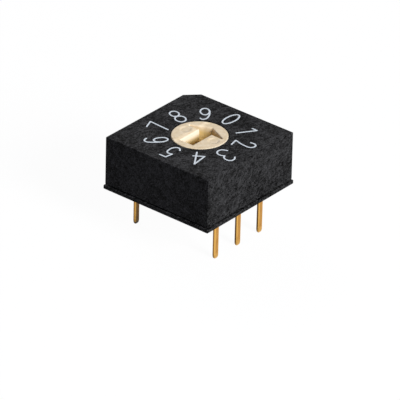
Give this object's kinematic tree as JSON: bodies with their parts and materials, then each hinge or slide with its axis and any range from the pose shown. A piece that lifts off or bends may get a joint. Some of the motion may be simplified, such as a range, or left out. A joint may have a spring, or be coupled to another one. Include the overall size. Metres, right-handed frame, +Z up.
{
  "type": "rotary dip switch",
  "caption": "Rotary coded dip switch for a circuit board, with a square black body, a dial of numbers and a rotor turned by an arrow recess.",
  "frame": {"origin": "centre of the underside of the base, which seats on the circuit board", "axes": "+Z up, out of the board and along the rotor's axis; +Y is where the rotor's arrow points at position 0; the two rows of terminals run along Y at -X and +X"},
  "size_m": [0.01, 0.01, 0.0078],
  "materials": {
    "black_polyester": "black glass-filled polyester, moulded, matt with fine flow marks",
    "cream_nylon": "cream nylon, moulded, satin",
    "gold_plate": "gold-plated bronze strip, stamped",
    "spring_steel": "stainless spring strip",
    "seal_rubber": "black rubber",
    "sealing_resin": "dark poured resin, glossy"
  },
  "bodies": {
    "case": {"housing": "black_polyester", "base": "black_polyester", "sealing_resin_a": "sealing_resin", "sealing_resin_b": "sealing_resin", "terminal_1": "gold_plate", "terminal_2": "gold_plate", "terminal_4": "gold_plate", "terminal_8": "gold_plate", "terminal_common_a": "gold_plate", "terminal_common_b": "gold_plate", "contact_spring_1": "gold_plate", "contact_spring_2": "gold_plate", "contact_spring_4": "gold_plate", "contact_spring_8": "gold_plate", "contact_spring_common_a": "gold_plate", "contact_spring_common_b": "gold_plate", "click_spring_front": "spring_steel", "click_spring_back": "spring_steel", "o_ring": "seal_rubber"},
    "rotor": {"rotor": "cream_nylon", "code_disc": "gold_plate"}
  },
  "joints": [
    {"name": "rotor_turn", "type": "hinge", "parent": "case", "child": "rotor", "pos_m": [0, 0, 0.00225], "axis": [0, 0, 1], "continuous": true, "deforming": ["click_spring_front", "click_spring_back"]}
  ]
}
